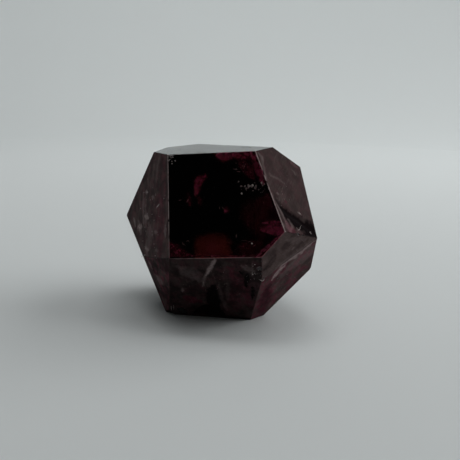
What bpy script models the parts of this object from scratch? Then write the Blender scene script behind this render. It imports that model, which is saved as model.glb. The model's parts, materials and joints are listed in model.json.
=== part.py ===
"""Garnet crystal: one dark red stone with flat facets, resting on its flat base.

The stone starts as a block. Each facet is one flat cut through it, given by the way the facet
faces and by how far it lies from the stone's middle. Then the natural damage is cut in: shell-shaped
chips along the edges and at the corners, and a long shallow hollow on the upper right facet.
The origin is the middle of the footprint, at the height of the base. +Z is up, and the front is -Y.
"""

import math
from collections import namedtuple

import bmesh
import bpy
from mathutils import Matrix, Vector

MM = 0.001

# ---- Driving dimensions, in millimetres and degrees ----

STONE_NAME = "garnet_crystal"
BLOCK_SIDE = 80.0
MIDDLE_X = -0.16
MIDDLE_Y = -1.34
MIDDLE_HEIGHT = 19.3

# A facet faces an azimuth (0 is +X, 90 is +Y) and an elevation (90 is up), and lies at a distance
# from the stone's middle.
Facet = namedtuple("Facet", "azimuth elevation distance")

FACETS = {
    "top": Facet(183, 85, 18.1),
    "base": Facet(0, -90, MIDDLE_HEIGHT),
    "front": Facet(258, 18, 14.8),
    "front_lower": Facet(263, -31, 15.7),
    "left": Facet(206, 6, 14.0),
    "left_lower": Facet(211, -15, 15.6),
    "right_upper": Facet(325, 30, 21.3),
    "right_lower": Facet(309, -23, 20.1),
    "right_corner": Facet(314, -29, 19.8),
    "right_side": Facet(10, 7, 20.5),
    "right_back": Facet(42, -8, 20.6),
    "right_back_lower": Facet(28, -42, 19.2),
    "right_back_upper": Facet(46, 60, 19.1),
    "back": Facet(84, -14, 17.6),
    "back_upper": Facet(124, 30, 21.4),
    "back_lower": Facet(126, -38, 19.6),
    "left_back_upper": Facet(170, 32, 20.4),
    "left_back_lower": Facet(194, -21, 17.3),
}

# A chip along an edge sits a share of the way from one corner to the other. Each corner is named by
# three facets that meet there. The chip is a ball of this radius, sunk this deep into the edge.
EdgeChip = namedtuple("EdgeChip", "start end share radius depth")

TOP_FRONT_LEFT = ("top", "front", "left")
TOP_FRONT_RIGHT = ("top", "front", "right_upper")
TOP_BACK_RIGHT = ("top", "right_upper", "right_back_upper")
TOP_BACK_MIDDLE = ("top", "back_upper", "right_back_upper")
FRONT_LOW_RIGHT = ("front", "front_lower", "right_lower")
FRONT_RIGHT = ("front", "right_upper", "right_lower")
RIGHT_TIP = ("right_upper", "right_lower", "right_side")
RIGHT_BACK_TOP = ("right_upper", "right_side", "right_back_upper")
RIGHT_LOW_TIP = ("right_corner", "right_side", "right_back_lower")
LEFT_TIP = ("left", "left_back_upper", "left_back_lower")
LEFT_LOW = ("left", "left_lower", "left_back_lower")
BASE_FRONT_LEFT = ("base", "front_lower", "left_lower")
BASE_FRONT_RIGHT = ("base", "front_lower", "right_corner")
BACK_TOP = ("back", "back_upper", "right_back_upper")
BACK_RIGHT = ("back", "right_back", "right_back_upper")
RIGHT_BACK_SIDE = ("right_back", "right_side", "right_back_upper")
BACK_LOW = ("back", "back_lower", "right_back_lower")
BACK_LOW_RIGHT = ("back", "right_back", "right_back_lower")

EDGE_CHIPS = (
    EdgeChip(TOP_FRONT_LEFT, TOP_FRONT_RIGHT, 0.05, 1.6, 0.22),
    EdgeChip(TOP_FRONT_LEFT, TOP_FRONT_RIGHT, 0.57, 0.9, 0.16),
    EdgeChip(TOP_FRONT_RIGHT, FRONT_RIGHT, 0.27, 1.4, 0.18),
    EdgeChip(FRONT_RIGHT, RIGHT_TIP, 0.40, 1.1, 0.16),
    EdgeChip(FRONT_LOW_RIGHT, BASE_FRONT_RIGHT, 0.16, 1.3, 0.20),
    EdgeChip(TOP_BACK_RIGHT, TOP_BACK_MIDDLE, 0.62, 2.0, 0.30),
    EdgeChip(BACK_TOP, BACK_RIGHT, 0.35, 2.6, 0.45),
    EdgeChip(BACK_LOW, BACK_LOW_RIGHT, 0.55, 2.2, 0.40),
    EdgeChip(RIGHT_BACK_TOP, RIGHT_BACK_SIDE, 0.55, 1.8, 0.30),
)

# A chip at a corner: the ball's middle lies straight out from the corner.
CornerChip = namedtuple("CornerChip", "corner radius depth")

CORNER_CHIPS = (
    CornerChip(BASE_FRONT_LEFT, 2.4, 0.75),
    CornerChip(LEFT_LOW, 1.0, 0.22),
    CornerChip(LEFT_TIP, 0.9, 0.20),
    CornerChip(RIGHT_LOW_TIP, 1.1, 0.24),
    CornerChip(BACK_RIGHT, 2.0, 0.50),
)

# The long hollow on the upper right facet runs from the front edge down to the right tip. It is
# part of a stretched ball that dips below the facet.
HOLLOW_FACET = "right_upper"
HOLLOW_START_SHARE = 0.50
HOLLOW_END_SHARE = 0.97
HOLLOW_HALF_WIDTH = 1.7
HOLLOW_DEPTH = 0.40
HOLLOW_INSET = 1.5
HOLLOW_SAG = 1.6
CUTTER_ROUNDNESS = 3.0

BALL_SEGMENTS = 20
BALL_RINGS = 12
BALL_TURN = (20, 35, 50)
HOLLOW_SEGMENTS = 40
HOLLOW_RINGS = 20

GARNET_COLOUR = (0.055, 0.010, 0.016, 1.0)
GARNET_ROUGHNESS = 0.08
GARNET_METALLIC = 0.0

STONE_MIDDLE = Vector((MIDDLE_X, MIDDLE_Y, MIDDLE_HEIGHT)) * MM


# ---- Where the facets lie ----

def facet_direction(name):
    """The way a facet faces, as a unit vector."""
    azimuth = math.radians(FACETS[name].azimuth)
    elevation = math.radians(FACETS[name].elevation)
    level = math.cos(elevation)
    return Vector((level * math.cos(azimuth), level * math.sin(azimuth), math.sin(elevation)))


def facet_point(name):
    """The point of a facet's plane that lies nearest to the stone's middle."""
    return STONE_MIDDLE + facet_direction(name) * FACETS[name].distance * MM


def corner_point(names):
    """The point where three facets' planes meet."""
    directions = [facet_direction(name) for name in names]
    reaches = [direction.dot(facet_point(name)) for direction, name in zip(directions, names)]
    return Matrix(directions).inverted() @ Vector(reaches)


def outward(names):
    """The mean outward direction of several facets."""
    total = Vector((0.0, 0.0, 0.0))
    for name in names:
        total += facet_direction(name)
    return total.normalized()


# ---- The stone and what is cut from it ----

def empty_scene():
    for old in list(bpy.data.objects):
        bpy.data.objects.remove(old, do_unlink=True)


def new_collection(name):
    collection = bpy.data.collections.new(name)
    bpy.context.scene.collection.children.link(collection)
    return collection


def add_object(name, shape, collection):
    """Turn a bmesh into a named object in a collection."""
    mesh = bpy.data.meshes.new(name)
    shape.to_mesh(mesh)
    shape.free()
    obj = bpy.data.objects.new(name, mesh)
    collection.objects.link(obj)
    return obj


def cut_facet(stone, name):
    """Cut the block flat along one facet, and close the cut."""
    geometry = stone.verts[:] + stone.edges[:] + stone.faces[:]
    cut = bmesh.ops.bisect_plane(
        stone,
        geom=geometry,
        plane_co=facet_point(name),
        plane_no=facet_direction(name),
        clear_outer=True,
    )
    rim = [item for item in cut["geom_cut"] if isinstance(item, bmesh.types.BMEdge)]
    bmesh.ops.edgeloop_fill(stone, edges=rim)


def faceted_stone(collection):
    stone = bmesh.new()
    bmesh.ops.create_cube(stone, size=BLOCK_SIDE * MM)
    bmesh.ops.translate(stone, verts=stone.verts, vec=STONE_MIDDLE)
    for name in FACETS:
        cut_facet(stone, name)
    bmesh.ops.recalc_face_normals(stone, faces=stone.faces)
    return add_object(STONE_NAME, stone, collection)


def ball_cutter(name, middle, radius, collection):
    """A ball that bites a shell-shaped chip out of the stone."""
    ball = bmesh.new()
    bmesh.ops.create_uvsphere(ball, u_segments=BALL_SEGMENTS, v_segments=BALL_RINGS, radius=radius)
    cutter = add_object(name, ball, collection)
    cutter.location = middle
    cutter.rotation_euler = [math.radians(angle) for angle in BALL_TURN]
    return cutter


def edge_chip_cutter(number, chip, collection):
    start = corner_point(chip.start)
    end = corner_point(chip.end)
    shared = [name for name in chip.start if name in chip.end]
    away = (chip.radius - chip.depth) * MM
    middle = start.lerp(end, chip.share) + outward(shared) * away
    return ball_cutter(f"edge_chip_{number}", middle, chip.radius * MM, collection)


def corner_chip_cutter(number, chip, collection):
    away = (chip.radius - chip.depth) * MM
    middle = corner_point(chip.corner) + outward(chip.corner) * away
    return ball_cutter(f"corner_chip_{number}", middle, chip.radius * MM, collection)


def hollow_cutter(collection):
    """A long stretched ball that dips a little below the upper right facet."""
    facing = facet_direction(HOLLOW_FACET)
    edge_top = corner_point(TOP_FRONT_RIGHT)
    edge_foot = corner_point(FRONT_RIGHT)
    tip = corner_point(RIGHT_TIP)
    start = edge_top.lerp(edge_foot, HOLLOW_START_SHARE)
    along = (tip - start).normalized()
    across = facing.cross(along)
    length = (tip - start).length * HOLLOW_END_SHARE - HOLLOW_INSET * MM
    height = HOLLOW_DEPTH * CUTTER_ROUNDNESS * MM
    spread = 1.0 / math.sqrt(1.0 - (1.0 - 1.0 / CUTTER_ROUNDNESS) ** 2)
    middle = start + along * (HOLLOW_INSET * MM + length / 2)
    middle += across * HOLLOW_SAG * MM
    middle += facing * (height - HOLLOW_DEPTH * MM)
    ball = bmesh.new()
    bmesh.ops.create_uvsphere(ball, u_segments=HOLLOW_SEGMENTS, v_segments=HOLLOW_RINGS, radius=1.0)
    stretch = Matrix.Diagonal((length / 2 * spread, HOLLOW_HALF_WIDTH * MM * spread, height))
    turn = Matrix((along, across, facing)).transposed()
    bmesh.ops.transform(ball, matrix=(turn @ stretch).to_4x4(), verts=ball.verts)
    cutter = add_object("hollow", ball, collection)
    cutter.location = middle
    return cutter


def cut_away(stone, cutters):
    """Cut every cutter out of the stone."""
    for cutter in cutters.objects:
        cutter.hide_render = True
        cutter.display_type = "WIRE"
    damage = stone.modifiers.new("damage", "BOOLEAN")
    damage.operation = "DIFFERENCE"
    damage.solver = "EXACT"
    damage.operand_type = "COLLECTION"
    damage.collection = cutters


def garnet_material():
    material = bpy.data.materials.new("garnet")
    material.use_nodes = True
    shader = material.node_tree.nodes["Principled BSDF"]
    shader.inputs["Base Color"].default_value = GARNET_COLOUR
    shader.inputs["Roughness"].default_value = GARNET_ROUGHNESS
    shader.inputs["Metallic"].default_value = GARNET_METALLIC
    material.diffuse_color = GARNET_COLOUR
    return material


def build():
    empty_scene()
    parts = new_collection("garnet_crystal_parts")
    cutters = new_collection("cutters")
    stone = faceted_stone(parts)
    for number, chip in enumerate(EDGE_CHIPS, start=1):
        edge_chip_cutter(number, chip, cutters)
    for number, chip in enumerate(CORNER_CHIPS, start=1):
        corner_chip_cutter(number, chip, cutters)
    hollow_cutter(cutters)
    cut_away(stone, cutters)
    stone.data.materials.append(garnet_material())


build()
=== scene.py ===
"""Garnet crystal, dressed: a dark red see-through stone with natural facets, on a plain pale sweep.

The stone is cut again from the CAD stone's own facet planes, with worn edges, chips and a fine
relief on each facet. What the facets look like is painted on the mesh as named attributes, which
its one material reads. Some of it is painted light and shade: red glows on the front facet, dark
bands of painted shade, pale highlights along edges and streaks, and facet tones that stand in for
sheen. Small pale flecks and faint red veils lie inside the stone.
"""
import json
import math
import random
from collections import namedtuple

import bmesh
import bpy
from mathutils import Matrix, Vector, noise
from mathutils.bvhtree import BVHTree
from mathutils.geometry import delaunay_2d_cdt
from mathutils.kdtree import KDTree

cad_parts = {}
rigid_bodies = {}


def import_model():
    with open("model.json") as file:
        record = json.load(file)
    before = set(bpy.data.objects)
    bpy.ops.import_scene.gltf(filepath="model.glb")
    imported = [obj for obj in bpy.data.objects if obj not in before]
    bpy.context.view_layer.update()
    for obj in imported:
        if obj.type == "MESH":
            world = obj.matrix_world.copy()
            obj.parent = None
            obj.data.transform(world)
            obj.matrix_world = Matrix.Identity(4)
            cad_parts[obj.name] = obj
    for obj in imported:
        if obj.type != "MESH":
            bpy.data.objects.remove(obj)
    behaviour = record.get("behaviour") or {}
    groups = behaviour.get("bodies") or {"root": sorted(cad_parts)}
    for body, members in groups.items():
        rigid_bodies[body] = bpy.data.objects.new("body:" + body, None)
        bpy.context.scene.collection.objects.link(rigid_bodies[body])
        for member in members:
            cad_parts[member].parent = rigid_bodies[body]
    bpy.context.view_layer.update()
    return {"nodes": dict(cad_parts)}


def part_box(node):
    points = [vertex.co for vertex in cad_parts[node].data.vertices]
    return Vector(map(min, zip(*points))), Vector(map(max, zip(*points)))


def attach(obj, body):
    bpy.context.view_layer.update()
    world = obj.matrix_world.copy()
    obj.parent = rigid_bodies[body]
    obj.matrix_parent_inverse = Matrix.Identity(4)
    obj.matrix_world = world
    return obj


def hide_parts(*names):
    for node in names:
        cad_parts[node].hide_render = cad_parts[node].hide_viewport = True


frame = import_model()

MM = 0.001
STONE = "garnet_crystal"

# ---- The view, 460 x 460 pixels ----

PICTURE_SIDE = 460.0
FOCAL_PIXELS = 610.8
SENSOR_WIDTH = 36.0
EYE = Vector((3.74, -138.74, 50.0)) * MM
EYE_PITCH = math.radians(12.79)
EYE_ROLL = math.radians(1.56)
NEAREST_SEEN = 0.01

LOOK = Vector((0.0, math.cos(EYE_PITCH), -math.sin(EYE_PITCH)))
LEVEL_UP = Vector((0.0, math.sin(EYE_PITCH), math.cos(EYE_PITCH)))
LEVEL_SIDE = Vector((1.0, 0.0, 0.0))
PICTURE_RIGHT = LEVEL_SIDE * math.cos(EYE_ROLL) + LEVEL_UP * math.sin(EYE_ROLL)
PICTURE_UP = LEVEL_UP * math.cos(EYE_ROLL) - LEVEL_SIDE * math.sin(EYE_ROLL)

# ---- The stone ----

# Each facet is found in the CAD stone by the way it faces: azimuth 0 is +X and 90 is +Y, and
# elevation 90 is up. Where a facet is etched, a thin dull skin hides the clear stone: etch is how
# much of it is, tone how pale the skin is, mottle how cloudy, streak how lined and rose how red.
# On the seen facets the tone is set facet by facet to stand in for sheen and light that the dull
# skin doesn't catch, so there it is partly painted light and reflection, partly the skin's paleness.
# grain is the angle of its lines.
Facet = namedtuple("Facet", "azimuth elevation etch tone mottle streak rose grain", defaults=(0,))

FACETS = {
    "top": Facet(183, 85, 0.20, 0.8, 0.3, 0.3, 0.2),
    "base": Facet(0, -90, 0.9, 1.0, 0.5, 0.0, 0.5),
    "front": Facet(258, 18, 0.0, 1.0, 0.0, 0.0, 0.8),
    "front_lower": Facet(263, -31, 0.97, 0.85, 0.7, 0.4, 0.4, 10),
    "left": Facet(206, 6, 1.0, 2.1, 0.5, 0.5, 0.3),
    "left_lower": Facet(211, -15, 1.0, 1.8, 0.8, 0.3, 1.0),
    "right_upper": Facet(325, 30, 1.0, 1.45, 0.3, 0.4, 0.2, -60),
    "right_lower": Facet(309, -23, 1.0, 2.15, 0.5, 0.4, 0.0, 55),
    "right_corner": Facet(314, -29, 1.0, 1.7, 0.35, 0.25, 0.8, 55),
    "right_side": Facet(10, 7, 0.85, 1.0, 0.5, 0.6, 0.4),
    "right_back": Facet(42, -8, 0.85, 1.0, 0.6, 0.6, 0.5),
    "right_back_lower": Facet(28, -42, 0.9, 1.0, 0.8, 0.4, 0.5),
    "right_back_upper": Facet(46, 60, 0.3, 1.0, 0.4, 0.3, 0.4, 30),
    "back": Facet(84, -14, 0.85, 1.0, 0.8, 0.6, 0.5),
    "back_upper": Facet(124, 30, 0.3, 1.0, 0.5, 0.3, 0.4, -20),
    "back_lower": Facet(126, -38, 0.9, 1.0, 0.8, 0.4, 0.6),
    "left_back_upper": Facet(170, 32, 0.5, 1.0, 0.5, 0.3, 0.3, 20),
    "left_back_lower": Facet(194, -21, 0.9, 1.0, 0.8, 0.5, 0.5),
}
FACET_NAMES = list(FACETS)
SEEN_FACETS = ("front", "front_lower", "left", "left_lower", "right_upper", "right_lower", "right_corner")
HIDDEN_FACETS = [name for name in FACET_NAMES if name not in (*SEEN_FACETS, "base")]
WORN_EDGE = len(FACETS)
BREAK = WORN_EDGE + 1
NEARLY_LEVEL = 0.95

BLOCK_SIDE = 0.09
SAME_WAY = 0.9995
NEAR_CORNERS = 0.0004
EDGE_WEAR = 0.00011
EDGE_STEPS = 2
EDGE_ROUNDNESS = 0.5
NET_SPACING = 0.00050
FINE_SPACING = 0.00032
RIM_SPACING = 0.00040
ROW_RATIO = math.sqrt(3) / 2
NET_MARGIN = 0.6
KEEP_INSIDE = 1
NET_NEARNESS = 1e-9
SHARP_BEND = math.radians(6)

# Fractal noise: how its layers fade, how much finer each is, and how many there are.
FRACTAL = (1.0, 2.0, 3)

# The facets' fine relief, in millimetres: a broad sway, growth lines along the grain, and lumps.
RELIEF_RIM = 0.9
SWAY_SCALE = 0.12
SWAY_HEIGHT = 0.010
LINE_SCALE = 1.3
LINE_STRETCH = 0.06
LINE_HEIGHT = 0.006
LUMP_SCALE = 0.5
LUMP_HEIGHT = 0.006

# A chip along an edge sits a share of the way between two corners, each named by three facets that
# meet there. It is a ball of this radius sunk this deep into the edge, in millimetres.
EdgeChip = namedtuple("EdgeChip", "start end share radius depth")
CornerChip = namedtuple("CornerChip", "corner radius depth")

TOP_FRONT_LEFT = ("top", "front", "left")
TOP_FRONT_RIGHT = ("top", "front", "right_upper")
TOP_BACK_RIGHT = ("top", "right_upper", "right_back_upper")
TOP_BACK_MIDDLE = ("top", "back_upper", "right_back_upper")
FRONT_LOW_RIGHT = ("front", "front_lower", "right_lower")
FRONT_RIGHT = ("front", "right_upper", "right_lower")
RIGHT_TIP = ("right_upper", "right_lower", "right_side")
RIGHT_BACK_TOP = ("right_upper", "right_side", "right_back_upper")
RIGHT_LOW_TIP = ("right_corner", "right_side", "right_back_lower")
LEFT_TIP = ("left", "left_back_upper", "left_back_lower")
LEFT_LOW = ("left", "left_lower", "left_back_lower")
BASE_FRONT_LEFT = ("base", "front_lower", "left_lower")
BASE_FRONT_RIGHT = ("base", "front_lower", "right_corner")
BACK_TOP = ("back", "back_upper", "right_back_upper")
BACK_RIGHT = ("back", "right_back", "right_back_upper")
RIGHT_BACK_SIDE = ("right_back", "right_side", "right_back_upper")
BACK_LOW = ("back", "back_lower", "right_back_lower")
BACK_LOW_RIGHT = ("back", "right_back", "right_back_lower")

EDGE_CHIPS = (
    EdgeChip(TOP_FRONT_LEFT, TOP_FRONT_RIGHT, 0.05, 1.6, 0.22),
    EdgeChip(TOP_FRONT_LEFT, TOP_FRONT_RIGHT, 0.57, 0.9, 0.16),
    EdgeChip(TOP_FRONT_RIGHT, FRONT_RIGHT, 0.27, 1.4, 0.18),
    EdgeChip(FRONT_RIGHT, RIGHT_TIP, 0.40, 1.1, 0.16),
    EdgeChip(FRONT_LOW_RIGHT, BASE_FRONT_RIGHT, 0.16, 1.3, 0.20),
    EdgeChip(TOP_BACK_RIGHT, TOP_BACK_MIDDLE, 0.62, 2.0, 0.30),
    EdgeChip(BACK_TOP, BACK_RIGHT, 0.35, 2.6, 0.45),
    EdgeChip(BACK_LOW, BACK_LOW_RIGHT, 0.55, 2.2, 0.40),
    EdgeChip(RIGHT_BACK_TOP, RIGHT_BACK_SIDE, 0.55, 1.8, 0.30),
)
CORNER_CHIPS = (
    CornerChip(BASE_FRONT_LEFT, 2.4, 0.75),
    CornerChip(LEFT_LOW, 1.0, 0.22),
    CornerChip(LEFT_TIP, 0.9, 0.20),
    CornerChip(RIGHT_LOW_TIP, 1.1, 0.24),
    CornerChip(BACK_RIGHT, 2.0, 0.50),
)
CHIP_FINENESS = 4
RIPPLE_SHARE = 0.012
RIPPLES = 9.0
RIPPLE_LUMPS = 3

# Small nicks, spread along every edge.
NICK_COUNT = 70
NICK_SEED = 7
NICK_FINENESS = 3
NICK_RADIUS = (0.18, 0.65)
NICK_DEPTH = (0.05, 0.12)

# ---- Looks ----

Look = namedtuple("Look", "etch tone mottle streak rose")
WORN_LOOK = Look(0.95, 0.75, 0.3, 0.0, 0.5)
BREAK_LOOK = Look(0.6, 1.2, 0.5, 0.0, 0.5)
FACET_STEP = 31.7
MARK_LAYERS = ("edge", "pale", "ruby", "dark", "clear", "glow", "ember")

# A pattern is a noise that an axis may be stretched along. It starts to show at low and is full at high.
Pattern = namedtuple("Pattern", "scale detail roughness low high stretch", defaults=(0.0, 1.0, None))
LINES = Pattern(1.0, 4.0, 0.65, 0.5, 0.8, (0.5, 0.05, 1.0))
THREADS = Pattern(1.0, 2.0, 0.5, 0.5, 0.85, (5.0, 0.35, 1.0))
FEATHERS = Pattern(1.0, 4.0, 0.7, 0.38, 0.62, (0.9, 2.2, 1.0))
CLOUDS = Pattern(0.30, 4.0, 0.6, 0.62, 0.38)
PATCHES = Pattern(0.55, 5.0, 0.65, 0.40, 0.65)
DUST = Pattern(2.2, 4.0, 0.7, 0.52, 0.8)
RAGGED = Pattern(1.6, 3.0, 0.7, 0.25, 0.6)
VEIL_CLOUDS = Pattern(900.0, 4.0, 0.65, 0.62, 0.40)
SPECKLE = Pattern(2500.0, 2.0, 0.5)

GARNET_IOR = 1.78
CLEAR_COLOUR = (1.0, 1.0, 1.0, 1.0)
CLEAR_ROUGHNESS = 0.03
CLEAR_PATCHINESS = 0.4
CLEAR_RANGE = (0.45, 0.75)
SKIN_ROUGHNESS = 0.45
SKIN_IOR = 1.5
SKIN_SHEEN = 0.005
DUST_SHARE = 0.5
PALE_FLOOR = 0.4
EDGE_LINE_FLOOR = 0.4
ABSORBED = (0.75, 0.05, 0.15, 1.0)
ABSORPTION = 1000.0
SKIN_COLOUR = (0.040, 0.028, 0.027, 1.0)
ROSE_COLOUR = (0.070, 0.014, 0.024, 1.0)
# Dark: for the skin's own clouds and dark patches, and for the painted shade of the dark marks.
DARK_COLOUR = (0.0045, 0.0025, 0.003, 1.0)
DUST_COLOUR = (0.150, 0.115, 0.115, 1.0)
# Pale specks, cracks and worn edges, and painted highlights along edges and streaks.
SPECK_AND_HIGHLIGHT_COLOUR = (0.440, 0.345, 0.340, 1.0)
VEIL_RED = (0.95, 0.36, 0.58, 1.0)
VEIL_AMBER = (0.95, 0.36, 0.16, 1.0)
# Painted light: the colours and share of the red and orange glows painted on the front facet.
GLOW_RED = (0.40, 0.035, 0.10, 1.0)
GLOW_AMBER = (0.36, 0.040, 0.020, 1.0)
GLOW_SHARE = 0.20
GLOW_COVER = 8
GLOW_FLOOR = 0.25
LEAST_GLOW = 0.001
FLECK_DARK = (0.20, 0.15, 0.14, 1.0)
FLECK_PALE = (0.75, 0.68, 0.66, 1.0)
FLECK_ROUGHNESS = 0.6
FLECK_SHEEN = 0.2

# A soft mark painted on a facet along a path of pixels of the view: its layer, its reach to each
# side in millimetres, its strength, and how ragged it is. "edge" marks show on the worn edges alone,
# as pale lines that are partly wear and partly painted highlight. "dark" marks are partly the stone's
# own dark patches and partly painted shade. "glow" and "ember" are painted light: a red and an
# orange glow.
Mark = namedtuple("Mark", "layer path reach strength ragged", defaults=(0.35,))
MARK_SOFTNESS = 0.7
MARK_END = 0.4
RAGGED_SCALE = 1.2
# Every worn edge gets a faint pale line, partly wear and partly painted highlight.
EDGE_PALENESS = 0.015

MARKS = {}
MARKS["front"] = {
    # Partly wear, partly painted highlight: the pale lines along and just inside the front facet's rims.
    "left_edge_line": Mark("edge", ((167.5, 153), (167.5, 200), (167.8, 236)), 1.0, 0.8),
    "left_edge_foot": Mark("edge", ((168, 236), (168.5, 256)), 1.0, 0.4),
    "right_edge_head": Mark("edge", ((255, 151), (261, 167), (266, 180)), 1.0, 0.7),
    "right_edge_line": Mark("edge", ((266, 182), (275, 206), (285, 231)), 1.0, 1.0),
    "front_foot_line": Mark("edge", ((170, 258), (260, 258)), 0.6, 0.25),
    "left_inner_line": Mark("pale", ((171, 165), (171.2, 250)), 0.14, 0.04, 0.1),
    "top_inner_line": Mark("pale", ((177, 157.4), (196, 156.6), (214, 156)), 0.16, 0.03, 0.1),
    "rim_line": Mark("pale", ((257, 255.5), (269.5, 244.6), (283, 233.4)), 0.26, 0.22, 0.2),
    "low_right_edge": Mark("edge", ((262, 257), (285, 232)), 1.0, 0.2),
}
MARKS["right_upper"] = {
    # Painted shade: the dark band along the shell groove.
    "groove_head": Mark("dark", ((275, 198), (281, 206), (287, 213), (295, 220)), 1.0, 0.6, 0.2),
    "groove_run": Mark("dark", ((281, 208), (290, 217.5), (300, 224), (314, 232.5)), 2.2, 1.1, 0.2),
    "groove_end": Mark("dark", ((299, 222.5), (311, 230.5), (322, 240)), 3.0, 1.1),
    "second_edge": Mark("pale", ((272.5, 193), (279, 206.5), (286.5, 224)), 0.42, 0.26, 0.15),
    "high_sweep": Mark("pale", ((270, 175.5), (278, 178.5), (285, 184)), 0.5, 0.10, 0.1),
    "high_tick": Mark("pale", ((269.5, 172), (270.3, 176)), 0.4, 0.10),
    "high_arc": Mark("pale", ((292, 170), (294.5, 172.5), (295.5, 176)), 0.45, 0.12),
    "corner_blush": Mark("ruby", ((289, 162), (298, 168)), 0.8, 0.35),
    "corner_haze": Mark("pale", ((290, 162), (297, 167)), 0.8, 0.09),
    "edge_blush": Mark("pale", ((261, 157), (263, 165), (266, 178)), 0.7, 0.10),
    "edge_blush_low": Mark("pale", ((264, 172), (267, 180)), 0.5, 0.25),
    "edge_blush_high": Mark("pale", ((258, 153), (262, 157), (263.5, 163)), 0.5, 0.2),
    "pink_spot": Mark("pale", ((277, 193), (279, 194.5)), 0.4, 0.22),
    "pink_spot_low": Mark("ruby", ((285, 200.5), (287, 203)), 0.4, 0.8),
    "thin_sweep": Mark("pale", ((297, 211.5), (301, 214.5)), 0.3, 0.2),
    "tip_blush": Mark("ruby", ((286, 222), (290, 229), (295, 233)), 1.3, 1.3),
    "tip_paleness": Mark("pale", ((286, 221), (287.5, 226), (291, 232)), 1.0, 0.16),
    "tip_streak": Mark("pale", ((288, 219), (292.5, 226), (290, 233)), 0.5, 0.2),
    "tip_spots": Mark("pale", ((282, 222), (284, 227)), 0.5, 0.25),
}
MARKS["left"] = {
    "left_blob": Mark("pale", ((144.6, 192), (147.8, 192)), 0.62, 0.5, 0.4),
    "left_tick": Mark("pale", ((156, 208), (159, 204)), 0.35, 0.35),
    "left_streak": Mark("pale", ((143, 192), (143.2, 223)), 1.0, 0.20),
    "left_streak_low": Mark("pale", ((144.4, 216.5), (148.2, 217.2)), 0.9, 0.6, 0.5),
    "left_streak_mist": Mark("pale", ((145.3, 206), (145.6, 226)), 1.3, 0.16),
    "left_patch": Mark("pale", ((138, 227.5), (141.6, 226.5)), 1.0, 0.65, 0.5),
    "left_patch_mist": Mark("pale", ((138.5, 221), (141, 234)), 1.6, 0.22),
    "left_patch_edge": Mark("pale", ((133.4, 218), (135.4, 226)), 0.8, 0.42),
    "left_foot": Mark("pale", ((145.4, 248), (148.4, 250)), 0.85, 0.55, 0.5),
    "left_foot_mist": Mark("pale", ((146, 242), (147, 256)), 1.6, 0.18),
    "left_band": Mark("ruby", ((160, 192), (160, 254)), 4.2, 0.5),
    "left_band_high": Mark("ruby", ((163, 154), (163, 205)), 2.4, 0.28),
    "left_curl": Mark("pale", ((154, 232), (157, 232.5)), 0.6, 0.34),
    "left_mist": Mark("pale", ((149, 226), (149, 246)), 3.2, 0.16),
    "left_rim_pale": Mark("pale", ((165, 226), (165, 236)), 1.2, 0.3),
    "left_low_curl": Mark("pale", ((155, 250), (158, 250.5)), 0.6, 0.24),
    "left_curl_high": Mark("pale", ((151.6, 197), (154, 197.5)), 0.5, 0.3),
}
MARKS["left_lower"] = {
    "low_left_blush": Mark("ruby", ((148, 264), (158, 275)), 2.2, 0.6),
    "low_left_cloud": Mark("pale", ((156, 276), (163, 284)), 1.4, 0.22),
    "low_left_blob": Mark("pale", ((149, 262), (152, 268)), 1.2, 0.25),
    "low_left_mist": Mark("pale", ((146, 262), (152, 274), (160, 288)), 2.4, 0.09),
}
MARKS["front_lower"] = {
    "crack_head": Mark(
        "pale", ((215.5, 259), (212, 264.6), (209.2, 269.5), (206, 275.5)), 0.66, 0.52, 0.15,
    ),
    "crack_tail": Mark("pale", ((210.5, 267), (206, 274.8), (203.9, 280), (202.9, 287)), 0.45, 0.20, 0.1),
    "smoke": Mark("pale", ((180, 268), (200, 280)), 2.6, 0.10),
    "right_smoke": Mark("pale", ((241, 266), (253, 271)), 1.1, 0.12),
    "smoke_streak": Mark("pale", ((252.4, 262), (252, 276)), 0.35, 0.14),
    "low_spot": Mark("pale", ((182, 288), (182.7, 292)), 0.5, 0.2),
    "red_patch": Mark("ruby", ((185, 297.5), (191, 299), (199, 301)), 1.6, 3.0),
    "right_blush": Mark("ruby", ((232, 270), (242, 285), (250, 306)), 2.8, 0.8),
    # Painted shade: the black flame and the dark foot, where the lower facet mirrors the stone's shadow on
    # the floor.
    "flame_top": Mark("dark", ((212.6, 286), (213.2, 298), (214, 313)), 2.0, 1.6, 0.25),
    "flame_foot": Mark("dark", ((196, 312), (209, 309), (223, 315)), 2.1, 1.8, 0.2),
    "foot_shade": Mark("dark", ((200, 317), (228, 318.5), (256, 320)), 0.8, 1.2, 0.2),
    "flame_rim": Mark("pale", ((218.5, 285), (221, 296), (227, 310)), 0.7, 0.06),
    "light_band": Mark("pale", ((228, 283), (227.5, 300)), 0.8, 0.05),
    "right_bands": Mark("ruby", ((232, 290), (238, 310)), 2.2, 0.6),
    "dark_tick": Mark("dark", ((247, 274), (246.8, 280), (245.8, 286)), 0.55, 1.2, 0.4),
    "dark_fleck": Mark("dark", ((239.5, 271.5), (243, 274)), 0.4, 0.9),
    "dark_dots": Mark("dark", ((252, 287), (253, 293), (252.5, 300)), 0.35, 0.9, 0.9),
    "broken_foot": Mark("clear", ((178, 309), (186, 312)), 1.3, 0.7),
}
MARKS["right_lower"] = {
    "ragged_edge": Mark("edge", ((315, 238), (288, 258), (262, 280)), 1.0, 0.15),
    "fringe_bank": Mark(
        "pale", ((314, 240), (303, 248), (295, 254.5), (286, 260), (276, 268)), 0.6, 0.15, 0.4,
    ),
    "grey_shade": Mark("dark", ((265, 270), (276, 256)), 1.6, 0.35),
    "grey_sheen": Mark("pale", ((287, 240), (305, 240)), 1.3, 0.10),
    "grey_tick": Mark("pale", ((292, 250), (294.5, 247)), 0.4, 0.2),
}
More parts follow.
